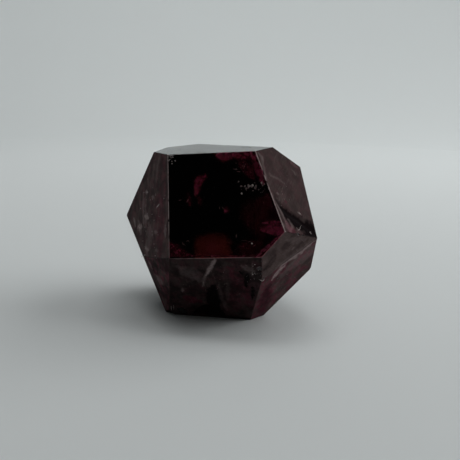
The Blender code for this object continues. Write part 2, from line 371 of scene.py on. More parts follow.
MARKS["right_corner"] = {
    "ragged_fringe": Mark(
        "pale", ((319, 238), (308, 246), (302, 251.5), (295, 256.5), (288, 260), (280, 267.5)),
        1.05, 0.46, 0.5,
    ),
    "ragged_bank": Mark("pale", ((313, 248), (298, 260), (282, 275)), 2.8, 0.10, 0.3),
    # Painted highlight: the bright pink streak.
    "bright_streak": Mark("pale", ((285, 265.5), (278.5, 271.5), (272.4, 279)), 1.0, 0.6, 0.4),
    "tip_bank": Mark("pale", ((311, 243), (310, 252), (303, 262)), 2.6, 0.12, 0.3),
    "streak_blush": Mark("ruby", ((287, 264), (279, 272), (271, 281)), 1.8, 0.45),
    "long_streak": Mark("pale", ((306, 252), (290, 268), (276, 284)), 1.0, 0.07),
    "corner_red": Mark("ruby", ((266, 290), (262, 310)), 2.6, 0.8),
    "corner_shade": Mark("dark", ((262, 318), (264, 302), (268, 286)), 2.4, 0.4),
}

# Veils are faint sheets of tiny bubbles inside the stone, seen through the clear front facet. Each
# lies this deep under the facet, in millimetres; amber is how orange it is. Over each veil the front
# facet is also painted with a glow, from red to orange as amber goes: painted light that stands in
# for the light the veils catch inside the stone.
Veil = namedtuple("Veil", "path depth reach strength amber", defaults=(0.0,))
VEIL_FACET = "front"
VEIL_SPACING = 0.28
VEIL_SWELL = 0.03
VEIL_SWAY = 0.12
VEIL_SWAY_SCALE = 0.7
VEIL_SPREAD = 1.35
VEIL_RAGGEDNESS = 0.12
VEIL_RIM = 0.12
VEIL_ROUGHNESS = 0.9
VEIL_CLOUDINESS = 0.75
AMBER_CALM = 0.6
FADE_POWER = 1.3

VEILS = {
    "top_bloom": Veil(((217, 156), (224, 156), (231, 158)), 0.60, 1.10, 0.85),
    "top_drift": Veil(((230, 155), (244, 156), (257, 156)), 0.75, 0.9, 0.55),
    "edge_drift": Veil(((251, 153), (258, 168), (263, 184)), 0.65, 0.8, 0.9),
    "edge_line": Veil(((264, 190), (272, 208), (281, 228)), 0.50, 0.5, 0.25),
    "high_smudge": Veil(((240, 162), (247, 168), (253, 178)), 0.90, 1.3, 0.35),
    "small_bloom": Veil(((205, 176), (198.5, 181), (195.5, 195)), 0.70, 0.95, 1.0),
    "small_trail": Veil(((188, 194), (190, 206)), 0.90, 0.7, 0.25, 0.1),
    "small_trail_right": Veil(((199, 197), (201, 206)), 0.90, 0.6, 0.25, 0.1),
    "middle_spot": Veil(((224.5, 209), (228, 211)), 0.70, 0.7, 0.8),
    "right_haze": Veil(((268, 200), (256, 214), (263, 236)), 1.20, 3.4, 0.22, 0.3),
    "point_feather": Veil(((262, 230), (274, 228), (286, 227)), 0.50, 1.1, 1.0),
    "point_streak": Veil(((262, 223), (283, 222)), 0.40, 0.45, 0.9),
    "point_glow": Veil(((268, 231.5), (286, 229.5)), 0.45, 1.0, 1.5),
    "low_right_haze": Veil(((238, 251), (250, 249), (260, 243)), 1.00, 2.0, 0.26, 0.2),
    "rim_strip": Veil(((256, 257), (269, 246), (283, 234)), 0.35, 0.45, 0.9),
    "rim_shade": Veil(((256, 258), (272, 246), (286, 234)), 0.80, 0.7, 0.5, 0.2),
    "low_left_bloom": Veil(((171, 244), (176, 251), (188, 255)), 0.85, 1.2, 0.5, 0.1),
    "dome_top": Veil(((199, 259), (206, 248.5), (219, 248.5), (228, 259)), 0.60, 3.1, 0.45, 0.85),
    "dome_heart": Veil(((207, 255), (214, 246), (219, 254)), 0.50, 1.6, 0.30, 0.1),
    "foot_line": Veil(((170, 256), (215, 256), (258, 256)), 0.50, 0.35, 0.5, 0.1),
}

# Flecks are tiny pale solid grains and slivers, this wide and deep in millimetres: inside the stone
# where a depth is given, and in the skin where it isn't. A fleck with one pixel is a grain.
Fleck = namedtuple("Fleck", "path width depth", defaults=(0.0,))
FLECK_STEPS = 4
FLECK_FLATNESS = 0.25
GRAIN_FINENESS = 1
GRAIN_FLATNESS = 0.5
GRAIN_STRETCH = (0.5, 1.0)
GRAIN_RAGGEDNESS = 0.45

FLECKS = {}
FLECKS["front"] = {
    "lone_grain": Fleck(((251.8, 243.6),), 0.50, 0.03),
    "lens": Fleck(((236.6, 233.5), (236.2, 238.5)), 0.22, 0.30),
    "high_grain": Fleck(((251.4, 156),), 0.42, 0.12),
    "rim_grain": Fleck(((218.3, 152.6),), 0.34, 0.02),
    "high_dash": Fleck(((233, 169), (238, 169.6)), 0.14, 0.30),
    "high_dash_low": Fleck(((236, 171.5), (241, 171.8)), 0.12, 0.35),
    "squiggle_left": Fleck(((182, 241), (183, 244), (186, 245.5)), 0.13, 0.25),
    "squiggle_right": Fleck(((186, 242), (188, 240.5), (190, 243)), 0.12, 0.25),
    "left_dash": Fleck(((178, 200.5), (182, 200)), 0.10, 0.35),
    "left_slant": Fleck(((186.5, 203), (188.5, 199)), 0.11, 0.35),
    "centre_tick": Fleck(((219.5, 206.5), (219.8, 210)), 0.10, 0.35),
    "centre_tick_right": Fleck(((222.5, 206.5), (223.3, 209.5)), 0.10, 0.35),
    "ring_left": Fleck(((247.6, 243), (249.5, 241.5), (252, 241)), 0.07, 0.25),
    "ring_right": Fleck(((256, 244), (254.5, 245.8), (252, 246.2)), 0.07, 0.25),
    "low_dash": Fleck(((240, 240.2), (247, 240.4)), 0.08, 0.30),
}
FLECKS["right_upper"] = {
    "tick_mark": Fleck(((296.2, 226.5), (298.6, 230.3), (301.8, 224.5)), 0.08),
    "tip_grain": Fleck(((310.6, 233),), 0.60),
    "fine_sweep": Fleck(((298, 212), (301.5, 215)), 0.12),
}
FLECKS["left"] = {
    "left_grain": Fleck(((141.9, 256.6),), 0.45),
    "left_sliver": Fleck(((156.5, 207.3), (159.5, 204)), 0.22),
    "left_dot": Fleck(((147, 192),), 0.35),
    "left_chip": Fleck(((139.8, 227.5),), 0.45),
}
FLECKS["front_lower"] = {
    "hook": Fleck(((258.5, 279), (262.5, 281), (264.6, 278.5)), 0.16),
    "low_grain": Fleck(((252.8, 274.3),), 0.30),
    "low_grain_high": Fleck(((254.8, 264.6),), 0.24),
    "corner_line": Fleck(((173.5, 304), (174, 311)), 0.14),
    "corner_line_left": Fleck(((171, 305), (171.6, 311)), 0.12),
}

# A cluster is grains strewn round a pixel of a facet, this far to each side in pixels.
Cluster = namedtuple("Cluster", "facet pixel spread count widths depths", defaults=((0.0, 0.0),))
CLUSTER_SEED = 11
CLUSTER_TIGHTNESS = 0.5
NEAR_SKIN = 0.00002
CLUSTERS = {
    "right_cluster": Cluster("front", (253, 186.5), (14, 4), 46, (0.14, 0.56), (0.03, 0.25)),
    "corner_crumbs": Cluster("front", (171.5, 159.5), (3.5, 6), 18, (0.12, 0.42), (0.0, 0.15)),
    "high_crumbs": Cluster("front", (244, 165), (12, 9), 18, (0.08, 0.26), (0.05, 0.35)),
    "edge_crumbs": Cluster("front", (262, 184), (3, 12), 14, (0.08, 0.28), (0.03, 0.25)),
    "front_dust": Cluster("front", (212, 205), (40, 46), 36, (0.04, 0.10), (0.3, 2.0)),
    "left_dust": Cluster("left", (150, 218), (14, 40), 44, (0.07, 0.26)),
    "low_dust": Cluster("front_lower", (225, 280), (40, 18), 26, (0.05, 0.13)),
    "low_right_dust": Cluster("front_lower", (254, 272), (8, 10), 16, (0.07, 0.20)),
    "right_dust": Cluster("right_upper", (288, 195), (18, 28), 18, (0.05, 0.12)),
    "corner_dust": Cluster("right_corner", (285, 285), (16, 18), 20, (0.05, 0.14)),
}

# The sides that the view doesn't show get marks, veils and grains of their own, strewn at random.
HIDDEN_SEED = 23
HIDDEN_MARKS = 7
HIDDEN_LAYERS = ("pale", "pale", "ruby", "ruby", "dark", "clear")
HIDDEN_LENGTH = (1.0, 6.0)
HIDDEN_BEND = 0.2
HIDDEN_REACH = (0.25, 1.4)
HIDDEN_STRENGTH = (0.15, 0.6)
HIDDEN_GRAINS = 10
HIDDEN_WIDTH = (0.05, 0.20)
HIDDEN_VEILS = 3
HIDDEN_VEIL_DEPTH = (0.8, 1.6)
HIDDEN_VEIL_LENGTH = (1.5, 5.0)
HIDDEN_VEIL_REACH = (0.7, 1.6)
HIDDEN_VEIL_STRENGTH = (0.3, 0.8)
CLEAR_HIDDEN = ("top", "right_back_upper", "back_upper", "left_back_upper")

# A groove is sunk in a facet along a path of pixels, this wide to each side and deep, in millimetres.
Groove = namedtuple("Groove", "facet path reach depth")
GROOVES = {
    "shell_groove": Groove(
        "right_upper", ((272, 195), (279, 204), (288, 213), (300, 221), (317, 235)), 1.3, 0.28,
    ),
    "crack_groove": Groove("front_lower", ((214.5, 259), (209, 270), (204, 286)), 0.35, 0.05),
    "ragged_groove": Groove("right_corner", ((301, 250), (290, 262), (276, 274)), 0.7, 0.10),
}

# ---- The room ----

PAPER_COLOUR = (0.70, 0.74, 0.74, 1.0)
PAPER_ROUGHNESS = 0.8
FLOOR_RADIUS = 0.50
WALL_BEND = 0.35
WALL_TOP = 0.42
WALL_STEPS = 12
TURN_STEPS = 48
SKY_TOWARDS = Vector((0.25, 0.25, 0.93)).normalized()
SKY_EDGE = 0.25
SKY_FULL = 0.85
SKY_DARK = 0.004
SKY_BRIGHT = 0.216
SKY_COLOUR = (1.0, 1.0, 1.0, 1.0)

# Square lamps: where each is, what it points at, its side in metres and its power.
Lamp = namedtuple("Lamp", "place target size power")
LAMPS = {
    "side_window": Lamp((0.75, 0.20, 0.42), (0.0, 0.0, 0.0), 0.9, 6.0),
    "wall_wash": Lamp((0.0, 0.20, 0.70), (0.0, 0.75, 0.05), 0.5, 1.85),
    "far_wash": Lamp((0.05, 0.45, 0.40), (0.08, 0.55, 0.0), 0.4, 0.16),
}


def operator(operation, reflected=False):
    """An operator of Signal: it adds a Math node to the signal's material."""
    def add_node(self, other):
        values = (other, self) if reflected else (self, other)
        return self.finish.node("Math", {"operation": operation}, dict(enumerate(values)))
    return add_node


class Signal:
    """A shader socket, with operators."""

    def __init__(self, finish, socket):
        self.finish = finish
        self.socket = socket

    __add__ = operator("ADD")
    __radd__ = operator("ADD", reflected=True)
    __sub__ = operator("SUBTRACT")
    __rsub__ = operator("SUBTRACT", reflected=True)
    __mul__ = operator("MULTIPLY")
    __rmul__ = operator("MULTIPLY", reflected=True)
    __truediv__ = operator("DIVIDE")
    __pow__ = operator("POWER")


class Finish:
    """A material, or a sky, whose nodes are added one by one."""

    def __init__(self, name, owner=None, output="ShaderNodeOutputMaterial"):
        self.owner = owner or bpy.data.materials.new(name)
        self.owner.use_nodes = True
        self.tree = self.owner.node_tree
        self.tree.nodes.clear()
        self.output = self.tree.nodes.new(output)

    def join(self, value, socket):
        """Set a socket to a number, a colour or another socket."""
        if isinstance(value, Signal):
            self.tree.links.new(value.socket, socket)
        else:
            socket.default_value = value

    def node(self, kind, settings=None, values=None, out=0):
        node = self.tree.nodes.new("ShaderNode" + kind)
        for key, value in (settings or {}).items():
            setattr(node, key, value)
        for key, value in (values or {}).items():
            self.join(value, node.inputs[key])
        return Signal(self, node.outputs[out])

    def show(self, surface, volume=None):
        self.join(surface, self.output.inputs["Surface"])
        if volume:
            self.join(volume, self.output.inputs["Volume"])
        return self.owner

    def painted(self, name, out="Fac"):
        """What is painted on the mesh under a name."""
        return self.node("Attribute", {"attribute_name": name}, out=out)

    def noise(self, place, pattern):
        """A pattern's bare noise, from 0 to 1."""
        if pattern.stretch:
            place = self.node("VectorMath", {"operation": "MULTIPLY"}, {0: place, 1: pattern.stretch})
        return self.node("TexNoise", {}, {
            "Vector": place, "Scale": pattern.scale, "Detail": pattern.detail,
            "Roughness": pattern.roughness,
        }, out="Fac")

    def step(self, value, low, high):
        """0 up to low, 1 from high, and smooth between."""
        return self.node("MapRange", {"interpolation_type": "SMOOTHSTEP"}, {
            "Value": value, "From Min": low, "From Max": high,
        })

    def shown(self, place, pattern):
        """How strongly a pattern shows, from 0 to 1."""
        return self.step(self.noise(place, pattern), pattern.low, pattern.high)

    def blend(self, share, first, second):
        """Two colours mixed by a share."""
        return self.node("Mix", {"data_type": "RGBA"}, {0: share, 6: first, 7: second}, out=2)

    def surface(self, colour, roughness, others=None):
        values = {"Base Color": colour, "Roughness": roughness, **(others or {})}
        return self.node("BsdfPrincipled", {}, values)


# ---- Where things lie ----

def direction(azimuth, elevation):
    """The way that an azimuth and an elevation face, as a unit vector."""
    azimuth = math.radians(azimuth)
    elevation = math.radians(elevation)
    level = math.cos(elevation)
    return Vector((level * math.cos(azimuth), level * math.sin(azimuth), math.sin(elevation)))


def read_planes():
    """Each facet's plane, as the CAD stone has it: a point and the way it faces."""
    polygons = frame["nodes"][STONE].data.polygons
    planes = {}
    for name, facet in FACETS.items():
        way = direction(facet.azimuth, facet.elevation)
        flat = [face for face in polygons if face.normal.dot(way) > SAME_WAY]
        largest = max(flat, key=lambda face: face.area)
        planes[name] = (largest.center.copy(), way)
    return planes


PLANES = read_planes()
STONE_LOW, STONE_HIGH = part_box(STONE)
STONE_MIDDLE = (STONE_LOW + STONE_HIGH) / 2


def corner_point(names):
    """The point where three facets' planes meet."""
    ways = [PLANES[name][1] for name in names]
    reaches = [way.dot(PLANES[name][0]) for way, name in zip(ways, names)]
    return Matrix(ways).inverted() @ Vector(reaches)


def outward(names):
    """The mean outward direction of several facets."""
    return sum((PLANES[name][1] for name in names), Vector((0.0, 0.0, 0.0))).normalized()


def facet_axes(name):
    """A facet's own axes: across its grain, along its grain, and out of it."""
    way = PLANES[name][1]
    upright = Vector((0, 1, 0)) if abs(way.z) > NEARLY_LEVEL else Vector((0, 0, 1))
    up = (upright - way * upright.dot(way)).normalized()
    up.rotate(Matrix.Rotation(math.radians(FACETS[name].grain), 3, way))
    return up.cross(way), up, way


def pixel_way(pixel):
    """The direction of sight through a pixel of the view."""
    x, y = pixel
    right = (x - PICTURE_SIDE / 2) / FOCAL_PIXELS
    up = (PICTURE_SIDE / 2 - y) / FOCAL_PIXELS
    return (LOOK + PICTURE_RIGHT * right + PICTURE_UP * up).normalized()


def on_facet(name, pixel):
    """The point of a facet's plane that shows at a pixel of the view."""
    point, way = PLANES[name]
    sight = pixel_way(pixel)
    return EYE + sight * ((point - EYE).dot(way) / sight.dot(way))


def beneath(name, pixel, depth):
    """The point this deep under a facet that shows at a pixel, through the bend of the light."""
    way = PLANES[name][1]
    sight = pixel_way(pixel)
    slope = -sight.dot(way)
    squeeze = 1 / GARNET_IOR
    steepness = math.sqrt(1 - squeeze ** 2 * (1 - slope ** 2))
    bent = sight * squeeze + way * (squeeze * slope - steepness)
    return on_facet(name, pixel) + bent * (depth / steepness)


def room_round(spot):
    """How far a point is from the nearest facet's plane, above nothing inside the stone."""
    return min((point - spot).dot(way) for point, way in PLANES.values())


def curve_through(points, steps):
    """A smooth curve through some points, with this many steps between each two."""
    padded = [points[0] * 2 - points[1], *points, points[-1] * 2 - points[-2]]
    curve = [points[0]]
    for before, start, end, after in zip(padded, padded[1:], padded[2:], padded[3:]):
        for step in range(1, steps + 1):
            t = step / steps
            pull = (end - before) * t + (before * 2 - start * 5 + end * 4 - after) * t ** 2
            curve.append(start + (pull + (start * 3 - before - end * 3 + after) * t ** 3) / 2)
    return curve


def near_path(spot, path):
    """How far a point is from a path of points, and how far along the path, from 0 to 1."""
    found = []
    for number, (start, end) in enumerate(zip(path, path[1:])):
        run = end - start
        share = clamped((spot - start).dot(run) / run.length_squared)
        found.append(((start + run * share - spot).length, (number + share) / (len(path) - 1)))
    return min(found)


def clamped(value):
    """A value held between 0 and 1."""
    return max(0.0, min(1.0, value))


def eased(share):
    """A share from 0 to 1, smooth at both ends."""
    return share * share * (3 - 2 * share)


def flattened(points, across, along):
    """Points as they lie in a plane with these two axes."""
    return [Vector((point.dot(across), point.dot(along))) for point in points]


def even_spots(flat, margin, spacing):
    """Rows of spots all round some flat points, by row and column, every other row set over."""
    low, high = [Vector([pick(point[axis] for point in flat) for axis in (0, 1)]) for pick in (min, max)]
    low -= Vector((margin, margin))
    high += Vector((margin, margin))
    spots = {}
    for row in range(int((high.y - low.y) / (spacing * ROW_RATIO)) + 2):
        for column in range(int((high.x - low.x) / spacing) + 2):
            shift = Vector(((column + 0.5 * (row % 2)) * spacing, row * spacing * ROW_RATIO))
            spots[row, column] = low + shift
    return spots


# ---- The stone's mesh ----

def linked(name, data, collection=None):
    obj = bpy.data.objects.new(name, data)
    (collection or bpy.context.scene.collection).objects.link(obj)
    return obj


def mesh_from(name, shape):
    mesh = bpy.data.meshes.new(name)
    shape.to_mesh(mesh)
    shape.free()
    return mesh


def faceted_block():
    """A block cut flat along every facet."""
    shape = bmesh.new()
    kind = shape.faces.layers.int.new("kind")
    bmesh.ops.create_cube(shape, size=BLOCK_SIDE)
    bmesh.ops.translate(shape, verts=shape.verts, vec=STONE_MIDDLE)
    for number, name in enumerate(FACET_NAMES):
        point, way = PLANES[name]
        geometry = shape.verts[:] + shape.edges[:] + shape.faces[:]
        cut = bmesh.ops.bisect_plane(shape, geom=geometry, plane_co=point, plane_no=way, clear_outer=True)
        rim = [item for item in cut["geom_cut"] if isinstance(item, bmesh.types.BMEdge)]
        for face in bmesh.ops.edgeloop_fill(shape, edges=rim)["faces"]:
            face[kind] = number
    bmesh.ops.remove_doubles(shape, verts=shape.verts, dist=NEAR_CORNERS)
    bmesh.ops.recalc_face_normals(shape, faces=shape.faces)
    return shape


def wear_edges(shape):
    kind = shape.faces.layers.int["kind"]
    worn_and_highlit = bmesh.ops.bevel(
        shape, geom=shape.edges[:], offset=EDGE_WEAR, segments=EDGE_STEPS, profile=EDGE_ROUNDNESS,
        affect="EDGES",
    )
    for face in worn_and_highlit["faces"]:
        face[kind] = WORN_EDGE


def ball(middle, radius, fineness, collection):
    """A rippled ball that bites a shell-shaped chip out of the stone."""
    shape = bmesh.new()
    kind = shape.faces.layers.int.new("kind")
    bmesh.ops.create_icosphere(shape, subdivisions=fineness, radius=radius)
    strike = (STONE_MIDDLE - middle).normalized().orthogonal()
    for vert in shape.verts:
        turn = vert.co.normalized()
        ripple = math.sin(RIPPLES * turn.angle(strike)) + noise.noise(turn * RIPPLE_LUMPS + middle / MM)
        vert.co *= 1 + RIPPLE_SHARE * ripple
    for face in shape.faces:
        face[kind] = BREAK
    linked("chip", mesh_from("chip", shape), collection).location = middle


def chip_balls(collection):
    places = []
    for chip in EDGE_CHIPS:
        spot = corner_point(chip.start).lerp(corner_point(chip.end), chip.share)
        places.append((spot, [name for name in chip.start if name in chip.end], chip))
    for chip in CORNER_CHIPS:
        places.append((corner_point(chip.corner), chip.corner, chip))
    for spot, names, chip in places:
        middle = spot + outward(names) * (chip.radius - chip.depth) * MM
        ball(middle, chip.radius * MM, CHIP_FINENESS, collection)


def nick_balls(edges, collection):
    """Small nicks at random places along the stone's edges, given as ends and outward ways."""
    draw = random.Random(NICK_SEED)
    lengths = [(end - start).length for start, end, way in edges]
    for start, end, way in draw.choices(edges, lengths, k=NICK_COUNT):
        radius = draw.uniform(*NICK_RADIUS) * MM
        depth = draw.uniform(*NICK_DEPTH) * MM
        middle = start.lerp(end, draw.random()) + way * (radius - depth)
        ball(middle, radius, NICK_FINENESS, collection)


def chipped(shape, collection):
    """The block with every ball in a collection cut out of it, as a new bmesh."""
    block = linked("block", mesh_from("block", shape))
    damage = block.modifiers.new("damage", "BOOLEAN")
    damage.operation = "DIFFERENCE"
    damage.solver = "EXACT"
    damage.operand_type = "COLLECTION"
    damage.collection = collection
    result = bmesh.new()
    result.from_object(block, bpy.context.evaluated_depsgraph_get())
    for obj in [block, *collection.objects]:
        bpy.data.objects.remove(obj, do_unlink=True)
    bpy.data.collections.remove(collection)
    return result


def relief(name, across, along):
    """How far a facet stands out at a place on it, in millimetres."""
    if name == "base":
        return 0.0
    number = FACET_NAMES.index(name)
    facet = FACETS[name]
    sway = noise.noise(Vector((across, along, number)) * SWAY_SCALE)
    lines = noise.noise(Vector((across * LINE_SCALE, along * LINE_SCALE * LINE_STRETCH, number)))
    lumps = noise.fractal(Vector((across, along, number)) * LUMP_SCALE, *FRACTAL)
    return SWAY_HEIGHT * sway + LINE_HEIGHT * facet.streak * lines + LUMP_HEIGHT * facet.mottle * lumps


def groove_depth(grooves, spot):
    """How deep the grooves are at a point of their facet, in metres."""
    depth = 0.0
    for groove in grooves:
        share = max(0.0, 1 - near_path(spot, groove.path)[0] / (groove.reach * MM))
        depth = max(depth, groove.depth * MM * eased(share))
    return depth


def facet_rim(faces):
    """The edges round a facet's faces, and their corners, in the mesh's own order."""
    own = set(faces)
    edges = {edge for face in faces for edge in face.edges}
    rim = [edge for edge in edges if not own.issuperset(edge.link_faces)]
    rim.sort(key=lambda edge: edge.index)
    corners = sorted({vert for edge in rim for vert in edge.verts}, key=lambda vert: vert.index)
    return rim, corners


def facet_cover(faces, across, along):
    """A test of whether a flat spot lies on one of a facet's faces."""
    points, polygons = [], []
    for face in faces:
        ring = flattened([vert.co for vert in face.verts], across, along)
        polygons.append(list(range(len(points), len(points) + len(ring))))
        points += [spot.to_3d() for spot in ring]
    tree = BVHTree.FromPolygons(points, polygons)
    return lambda spot: tree.ray_cast(Vector((spot[0], spot[1], 1.0)), Vector((0, 0, -1)))[0] is not None


def net_facet(shape, number):
    """Swap a facet's faces for an even net of small triangles, and raise its relief."""
    kind = shape.faces.layers.int["kind"]
    name = FACET_NAMES[number]
    across, along, out = facet_axes(name)
    faces = [face for face in shape.faces if face[kind] == number]
    rim, corners = facet_rim(faces)
    flat = flattened([vert.co for vert in corners], across, along)
    tree = KDTree(len(flat))
    for index, spot in enumerate(flat):
        tree.insert(spot.to_3d(), index)
    tree.balance()
    inside = facet_cover(faces, across, along)
    spacing = FINE_SPACING if name in SEEN_FACETS else NET_SPACING
    spots = list(flat)
    for spot in even_spots(flat, 0.0, spacing).values():
        if inside(spot) and tree.find(spot.to_3d())[2] > spacing * NET_MARGIN:
            spots.append(spot)
    place = {vert: index for index, vert in enumerate(corners)}
    links = [[place[vert] for vert in edge.verts] for edge in rim]
    made, _, triangles, sources, _, _ = delaunay_2d_cdt(spots, links, [], KEEP_INSIDE, NET_NEARNESS)
    grooves = [groove._replace(path=[on_facet(name, pixel) for pixel in groove.path])
               for groove in GROOVES.values() if groove.facet == name]
    height = corners[0].co.dot(out)
    verts = []
    for spot, source in zip(made, sources):
        kept = [index for index in source if index < len(corners)]
        if kept:
            verts.append(corners[kept[0]])
            continue
        level = across * spot.x + along * spot.y + out * height
        rise = relief(name, spot.x / MM, spot.y / MM) * MM - groove_depth(grooves, level)
        gap = tree.find(spot.to_3d())[2]
        verts.append(shape.verts.new(level + out * rise * min(1.0, gap / (RELIEF_RIM * MM))))
    bmesh.ops.delete(shape, geom=faces, context="FACES_ONLY")
    for a, b, c in triangles:
        if inside((made[a] + made[b] + made[c]) / 3):
            shape.faces.new((verts[a], verts[b], verts[c]))[kind] = number


def split_long(shape):
    """Cut every long edge into pieces about as long as the net's spacing."""
    lots = {}
    for edge in shape.edges:
        pieces = round(edge.calc_length() / RIM_SPACING)
        if pieces > 1:
            lots.setdefault(pieces, []).append(edge)
    for pieces, edges in sorted(lots.items()):
        bmesh.ops.subdivide_edges(shape, edges=edges, cuts=pieces - 1, use_only_quads=False)


def stone_mesh():
    shape = faceted_block()
    edges = []
    for edge in shape.edges:
        start, end = [vert.co.copy() for vert in edge.verts]
        edges.append((start, end, (edge.link_faces[0].normal + edge.link_faces[1].normal).normalized()))
    wear_edges(shape)
    cutters = bpy.data.collections.new("chips")
    bpy.context.scene.collection.children.link(cutters)
    chip_balls(cutters)
    nick_balls(edges, cutters)
    shape = chipped(shape, cutters)
    split_long(shape)
    for number in range(len(FACETS)):
        shape.verts.index_update()
        shape.edges.index_update()
        net_facet(shape, number)
    bmesh.ops.triangulate(shape, faces=[face for face in shape.faces if len(face.verts) > 3])
    loose = [edge for edge in shape.edges if not edge.link_faces]
    bmesh.ops.delete(shape, geom=loose, context="EDGES")
    bmesh.ops.recalc_face_normals(shape, faces=shape.faces)
    return shape


# ---- What is painted on the stone ----

def cover_at(spot, path, reach, raggedness):
    """How strongly a mark along a path covers a point: full near the path, nothing past its reach."""
    gap, along = near_path(spot, path)
    gap += reach * raggedness * noise.fractal(spot / MM * RAGGED_SCALE, *FRACTAL)
    taper = MARK_END + (1 - MARK_END) * math.sin(math.pi * along)
    return eased(clamped((1 - gap / (reach * taper)) / MARK_SOFTNESS))


def hidden_path(draw, spots, length):
    """A short bent path over a facet's spots, drawn at random."""
    start = draw.choice(spots)
    run = (draw.choice(spots) - start).normalized() * draw.uniform(*length) * MM
    bend = Vector([draw.uniform(-HIDDEN_BEND, HIDDEN_BEND) for axis in range(3)]) * run.length
    return [start, start + run / 2 + bend, start + run]


def all_marks(spots_of):
    """Each mark with its facet, along a path of points: the seen facets' own, those over the veils,
    which are painted glow, and those drawn at random for the hidden facets."""
    for facet, marks in MARKS.items():
        for mark in marks.values():
            yield facet, mark._replace(path=[on_facet(facet, pixel) for pixel in mark.path])
    for veil in VEILS.values():
        path = [on_facet(VEIL_FACET, pixel) for pixel in veil.path]
        reach = veil.reach * VEIL_SPREAD
        for layer, share in (("glow", 1 - veil.amber), ("ember", veil.amber)):
            yield VEIL_FACET, Mark(layer, path, reach, veil.strength * share, VEIL_RAGGEDNESS)
    draw = random.Random(HIDDEN_SEED)
    for facet in HIDDEN_FACETS:
        for count in range(HIDDEN_MARKS):
            path = hidden_path(draw, spots_of[facet], HIDDEN_LENGTH)
            layer = draw.choice(HIDDEN_LAYERS)
            yield facet, Mark(layer, path, draw.uniform(*HIDDEN_REACH), draw.uniform(*HIDDEN_STRENGTH))


def paint_layer(mesh, name, domain, values):
    mesh.attributes.new(name, "FLOAT", domain).data.foreach_set("value", values)


def paint_marks(mesh, kinds):
    """Paint every mark, and give back the points of each facet."""
    numbers = {}
    for face, kind in zip(mesh.polygons, kinds):
        numbers.setdefault(kind, set()).update(face.vertices)
    numbers = {kind: sorted(found) for kind, found in numbers.items()}
    points = [vert.co.copy() for vert in mesh.vertices]
    spots_of = {name: [points[index] for index in numbers[kind]] for kind, name in enumerate(FACET_NAMES)}
    layers = {name: [0.0] * len(points) for name in MARK_LAYERS}
    layers["edge"] = [EDGE_PALENESS] * len(points)
    for facet, mark in all_marks(spots_of):
        layer = layers[mark.layer]
        kind = WORN_EDGE if mark.layer == "edge" else FACET_NAMES.index(facet)
        for index in numbers[kind]:
            cover = cover_at(points[index], mark.path, mark.reach * MM, mark.ragged)
            layer[index] = max(layer[index], mark.strength * cover)
    for name, values in layers.items():
        paint_layer(mesh, name, "POINT", values)
    return spots_of


def paint(mesh):
    """Write the facets' looks and the marks on the stone's mesh as named attributes."""
    kinds = [value.value for value in mesh.attributes["kind"].data]
    looks = [FACETS[name] for name in FACET_NAMES] + [WORN_LOOK, BREAK_LOOK]
    for field in Look._fields:
        paint_layer(mesh, field, "FACE", [getattr(looks[kind], field) for kind in kinds])
    paint_layer(mesh, "worn_and_highlit", "FACE", [float(kind == WORN_EDGE) for kind in kinds])
    axes = [facet_axes(name) for name in FACET_NAMES]
    values = []
    for face, kind in zip(mesh.polygons, kinds):
        for index in face.vertices:
            spot = mesh.vertices[index].co
            if kind < len(FACETS):
                across, along, out = axes[kind]
                values += [spot.dot(across) / MM, spot.dot(along) / MM, FACET_STEP * kind]
            else:
                values += [value / MM for value in spot]
    mesh.attributes.new("place", "FLOAT_VECTOR", "CORNER").data.foreach_set("vector", values)
    return paint_marks(mesh, kinds)


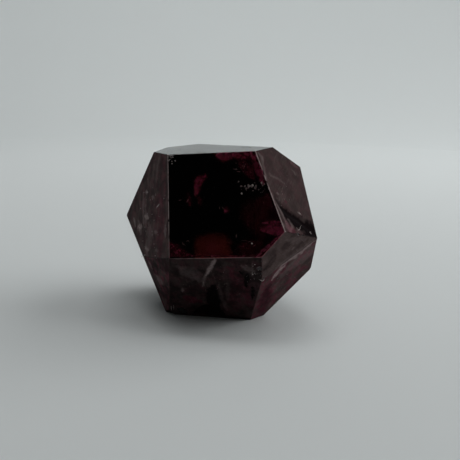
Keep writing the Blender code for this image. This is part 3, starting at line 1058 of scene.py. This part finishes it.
def garnet_finish():
    """See-through dark red, under a thin etched skin with clouds, growth lines and dust, and with painted
    light and shade: a red glow on the front facet, dark bands and pale highlights.
    """
    finish = Finish("garnet")
    place = finish.painted("place", out="Vector")
    look = {name: finish.painted(name) for name in (*Look._fields, *MARK_LAYERS, "worn_and_highlit")}
    ragged = finish.shown(place, RAGGED)
    patches = finish.noise(place, PATCHES)
    pale = look["pale"] * (PALE_FLOOR + (1 - PALE_FLOOR) * ragged)
    # Pale lines on the worn edges: partly wear, partly painted highlight.
    worn_and_highlit = look["worn_and_highlit"] * look["edge"] * (EDGE_LINE_FLOOR + ragged)
    clear = finish.step(look["clear"] + CLEAR_PATCHINESS * patches, *CLEAR_RANGE)
    rosy = look["rose"] * finish.step(patches, PATCHES.low, PATCHES.high) + look["ruby"] * ragged
    # shade darkens by the skin's own clouds and by the dark marks, some of which are painted shade.
    shade = look["mottle"] * finish.shown(place, CLOUDS) + look["dark"]
    lined = look["streak"] * (finish.shown(place, LINES) + finish.shown(place, THREADS))
    dusty = DUST_SHARE * (lined + look["mottle"] * finish.shown(place, DUST))
    # Painted light: the red and orange glows on the front facet, standing in for light caught inside the
    # stone.
    glow = look["glow"] * (GLOW_FLOOR + (1 - GLOW_FLOOR) * finish.shown(place, FEATHERS))
    lit = glow + look["ember"]
    warmth = finish.blend(look["ember"] / (lit + LEAST_GLOW), GLOW_RED, GLOW_AMBER)
    tint = finish.blend(rosy, SKIN_COLOUR, ROSE_COLOUR)
    tint = finish.blend(dusty, tint, DUST_COLOUR)
    tint = finish.blend(shade, tint, DARK_COLOUR)
    # The tone scales the skin; on the seen facets it partly stands in for sheen and light: painted light
    # and reflection.
    tint = finish.node("VectorMath", {"operation": "SCALE"}, {0: tint, "Scale": look["tone"]})
    tint = finish.blend(lit * GLOW_COVER, tint, warmth)
    tint = finish.blend(pale + worn_and_highlit, tint, SPECK_AND_HIGHLIGHT_COLOUR)
    share = look["etch"] * (1 - clear) + pale + worn_and_highlit + GLOW_SHARE * lit
    garnet = {"IOR": GARNET_IOR, "Transmission Weight": 1.0}
    stone = finish.surface(CLEAR_COLOUR, CLEAR_ROUGHNESS, garnet)
    skin = finish.surface(tint, SKIN_ROUGHNESS, {"IOR": SKIN_IOR, "Specular IOR Level": SKIN_SHEEN})
    body = finish.node("MixShader", {}, {0: share, 1: stone, 2: skin})
    dark_red = finish.node("VolumeAbsorption", {}, {"Color": ABSORBED, "Density": ABSORPTION})
    return finish.show(body, dark_red)


def dress(name, mesh, material):
    """Make a piece of the part from a mesh and its material."""
    mesh.materials.append(material)
    piece = linked(name, mesh)
    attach(piece, "root")
    return piece


def dressed_stone():
    """The stone itself. The points of each facet come back, to strew flecks and veils by."""
    mesh = mesh_from("garnet_stone", stone_mesh())
    mesh.shade_smooth()
    mesh.set_sharp_from_angle(angle=SHARP_BEND)
    spots_of = paint(mesh)
    stone = dress("garnet_stone", mesh, garnet_finish())
    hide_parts(STONE)
    return spots_of


# ---- What lies inside the stone and in its skin ----

def veil_sheet(shape, path, way, reach, strength, amber):
    """A thin lens-shaped sheet round a path of points, across a way, with its fade painted on it."""
    fade = shape.verts.layers.float["fade"]
    orange = shape.verts.layers.float["amber"]
    across = way.orthogonal().normalized()
    along = way.cross(across)
    flat = flattened([spot - path[0] for spot in path], across, along)
    spread = reach * VEIL_SPREAD
    sheet = {}
    margin = spread * (1 + VEIL_RAGGEDNESS)
    for key, spot in even_spots(flat, margin, VEIL_SPACING * MM).items():
        level = path[0] + across * spot.x + along * spot.y
        cover = cover_at(level, path, spread, VEIL_RAGGEDNESS)
        cover *= clamped(room_round(level) / VEIL_RIM / MM - 1)
        sway = way * noise.noise(level / MM * VEIL_SWAY_SCALE) * VEIL_SWAY * MM
        swell = way * cover * VEIL_SWELL * MM
        sheet[key] = [shape.verts.new(level + sway + swell)]
        if cover > 0:
            sheet[key].append(shape.verts.new(level + sway - swell))
        for vert in sheet[key]:
            vert[fade] = cover * strength
            vert[orange] = amber
    for (row, column), pair in sheet.items():
        shift = row % 2
        beside = (row, column + 1)
        above = (row + 1, column + shift)
        above_left = (row + 1, column + shift - 1)
        for other, third in ((beside, above), (above_left, above)):
            ring = [pair, sheet.get(other), sheet.get(third)]
            if None in ring or all(len(sides) == 1 for sides in ring):
                continue
            shape.faces.new([sides[0] for sides in reversed(ring)])
            shape.faces.new([sides[-1] for sides in ring])
    bmesh.ops.delete(shape, geom=[vert for vert in shape.verts if not vert.link_faces], context="VERTS")


def veil_finish():
    finish = Finish("inner_veil")
    clouds = finish.shown(finish.node("TexCoord", out="Object"), VEIL_CLOUDS)
    amber = finish.painted("amber")
    cloudiness = VEIL_CLOUDINESS - AMBER_CALM * amber
    cover = finish.painted("fade") ** FADE_POWER * (1 - cloudiness * clouds)
    tint = finish.blend(amber, VEIL_RED, VEIL_AMBER)
    return finish.show(finish.surface(tint, VEIL_ROUGHNESS, {"Specular IOR Level": 0.0, "Alpha": cover}))


def inner_veils(spots_of):
    shape = bmesh.new()
    shape.verts.layers.float.new("fade")
    shape.verts.layers.float.new("amber")
    for veil in VEILS.values():
        path = [beneath(VEIL_FACET, pixel, veil.depth * MM) for pixel in veil.path]
        veil_sheet(shape, path, PLANES[VEIL_FACET][1], veil.reach * MM, veil.strength, veil.amber)
    draw = random.Random(HIDDEN_SEED)
    for facet in CLEAR_HIDDEN:
        way = PLANES[facet][1]
        for count in range(HIDDEN_VEILS):
            sunk = way * draw.uniform(*HIDDEN_VEIL_DEPTH) * MM
            path = [spot - sunk for spot in hidden_path(draw, spots_of[facet], HIDDEN_VEIL_LENGTH)]
            reach = draw.uniform(*HIDDEN_VEIL_REACH) * MM
            veil_sheet(shape, path, way, reach, draw.uniform(*HIDDEN_VEIL_STRENGTH), draw.random())
    mesh = mesh_from("garnet_veils", shape)
    mesh.shade_smooth()
    dress("garnet_veils", mesh, veil_finish())


def sliver(shape, path, way, width):
    """A thin closed sliver along a path, pointed at both ends."""
    curve = curve_through(path, FLECK_STEPS)
    rings = []
    for step, spot in enumerate(curve[1:-1], 1):
        run = (curve[step + 1] - curve[step - 1]).normalized()
        swell = math.sin(math.pi * step / (len(curve) - 1)) * width * MM / 2
        side = way.cross(run) * swell
        thick = way * swell * FLECK_FLATNESS
        rings.append([shape.verts.new(spot + shift) for shift in (side, thick, -side, -thick)])
    for ring, following in zip(rings, rings[1:]):
        for a, b, c, d in zip(ring, ring[1:] + ring[:1], following[1:] + following[:1], following):
            shape.faces.new((a, b, c, d))
    for spot, ring in ((curve[0], rings[0][::-1]), (curve[-1], rings[-1])):
        tip = shape.verts.new(spot)
        for a, b in zip(ring, ring[1:] + ring[:1]):
            shape.faces.new((a, b, tip))


def grain(shape, spot, way, width, draw):
    """A small ragged grain, flattened along a way."""
    turn = way.to_track_quat("Z", "Y").to_matrix() @ Matrix.Rotation(draw.uniform(0, math.tau), 3, "Z")
    made = bmesh.ops.create_icosphere(shape, subdivisions=GRAIN_FINENESS, radius=1.0)["verts"]
    stretch = draw.uniform(*GRAIN_STRETCH)
    for vert in made:
        co = vert.co * (1 + GRAIN_RAGGEDNESS * draw.uniform(-1, 1))
        vert.co = spot + turn @ Vector((co.x, co.y * stretch, co.z * GRAIN_FLATNESS)) * width * MM / 2


def fleck_finish():
    finish = Finish("pale_fleck")
    speckle = finish.noise(finish.node("TexCoord", out="Object"), SPECKLE)
    tint = finish.blend(speckle, FLECK_DARK, FLECK_PALE)
    return finish.show(finish.surface(tint, FLECK_ROUGHNESS, {"Specular IOR Level": FLECK_SHEEN}))


def flecks(spots_of):
    shape = bmesh.new()
    draw = random.Random(CLUSTER_SEED)
    for facet, rows in FLECKS.items():
        way = PLANES[facet][1]
        for fleck in rows.values():
            path = [beneath(facet, pixel, fleck.depth * MM) for pixel in fleck.path]
            if len(path) > 1:
                sliver(shape, path, way, fleck.width)
            else:
                grain(shape, path[0], way, fleck.width, draw)
    for cluster in CLUSTERS.values():
        for count in range(cluster.count):
            shift = [draw.gauss(0, CLUSTER_TIGHTNESS) * spread for spread in cluster.spread]
            pixel = [middle + off for middle, off in zip(cluster.pixel, shift)]
            spot = beneath(cluster.facet, pixel, draw.uniform(*cluster.depths) * MM)
            if room_round(spot) > -NEAR_SKIN:
                grain(shape, spot, PLANES[cluster.facet][1], draw.uniform(*cluster.widths), draw)
    for facet in HIDDEN_FACETS:
        for count in range(HIDDEN_GRAINS):
            grain(shape, draw.choice(spots_of[facet]), PLANES[facet][1], draw.uniform(*HIDDEN_WIDTH), draw)
    dress("garnet_flecks", mesh_from("garnet_flecks", shape), fleck_finish())


# ---- The room ----

def camera():
    data = bpy.data.cameras.new("camera")
    data.sensor_width = SENSOR_WIDTH
    data.lens = SENSOR_WIDTH * FOCAL_PIXELS / PICTURE_SIDE
    data.clip_start = NEAREST_SEEN
    eye = linked("camera", data)
    turn = Matrix((PICTURE_RIGHT, PICTURE_UP, -LOOK)).transposed().to_4x4()
    eye.matrix_world = Matrix.Translation(EYE) @ turn
    bpy.context.scene.camera = eye


def board(name, shape, paper):
    piece = linked(name, mesh_from(name, shape))
    piece.data.materials.append(paper)
    return piece


def half_dish(name, first, paper):
    """Half of the wall round the floor, from an azimuth on, curving up out of the floor."""
    profile = [(FLOOR_RADIUS, 0.0)]
    for step in range(1, WALL_STEPS + 1):
        angle = math.radians(90.0 * step / WALL_STEPS)
        profile.append((FLOOR_RADIUS + WALL_BEND * math.sin(angle), WALL_BEND * (1 - math.cos(angle))))
    profile.append((FLOOR_RADIUS + WALL_BEND, WALL_TOP))
    shape = bmesh.new()
    rows = []
    for step in range(TURN_STEPS + 1):
        turn = math.radians(first + 180.0 * step / TURN_STEPS)
        rows.append([shape.verts.new((r * math.cos(turn), r * math.sin(turn), z)) for r, z in profile])
    for row, following in zip(rows, rows[1:]):
        for a, b, c, d in zip(row, row[1:], following[1:], following):
            shape.faces.new((a, b, c, d)).smooth = True
    return board(name, shape, paper)


def studio():
    """A pale dish all round. Its front wall is there for the eye alone, so the stone reflects a dark
    room in front, as it does where someone stands close to it."""
    finish = Finish("pale_paper")
    paper = finish.show(finish.surface(PAPER_COLOUR, PAPER_ROUGHNESS))
    floor = bmesh.new()
    bmesh.ops.create_circle(floor, cap_ends=True, segments=2 * TURN_STEPS, radius=FLOOR_RADIUS)
    board("floor", floor, paper)
    half_dish("back_wall", 0, paper)
    front = half_dish("front_wall", 180, paper)
    front.visible_diffuse = False
    front.visible_glossy = False
    front.visible_transmission = False
    front.visible_shadow = False


def soft_box(name, lamp):
    data = bpy.data.lights.new(name, "AREA")
    data.shape = "SQUARE"
    data.size = lamp.size
    data.energy = lamp.power
    box = linked(name, data)
    box.location = lamp.place
    box.rotation_euler = (Vector(lamp.target) - Vector(lamp.place)).to_track_quat("-Z", "Y").to_euler()


def sky():
    """A dim sky, brighter high up and behind the stone, dark in front."""
    world = bpy.data.worlds.new("studio")
    bpy.context.scene.world = world
    air = Finish("studio", world, "ShaderNodeOutputWorld")
    way = air.node("TexCoord", out="Generated")
    towards = air.node("VectorMath", {"operation": "DOT_PRODUCT"}, {0: way, 1: SKY_TOWARDS}, out="Value")
    glow = air.step(towards, SKY_EDGE, SKY_FULL) * (SKY_BRIGHT - SKY_DARK) + SKY_DARK
    air.show(air.node("Background", {}, {"Color": SKY_COLOUR, "Strength": glow}))


bpy.context.scene.view_settings.view_transform = "Standard"
camera()
studio()
sky()
for name, lamp in LAMPS.items():
    soft_box(name, lamp)
stone_spots = dressed_stone()
inner_veils(stone_spots)
flecks(stone_spots)
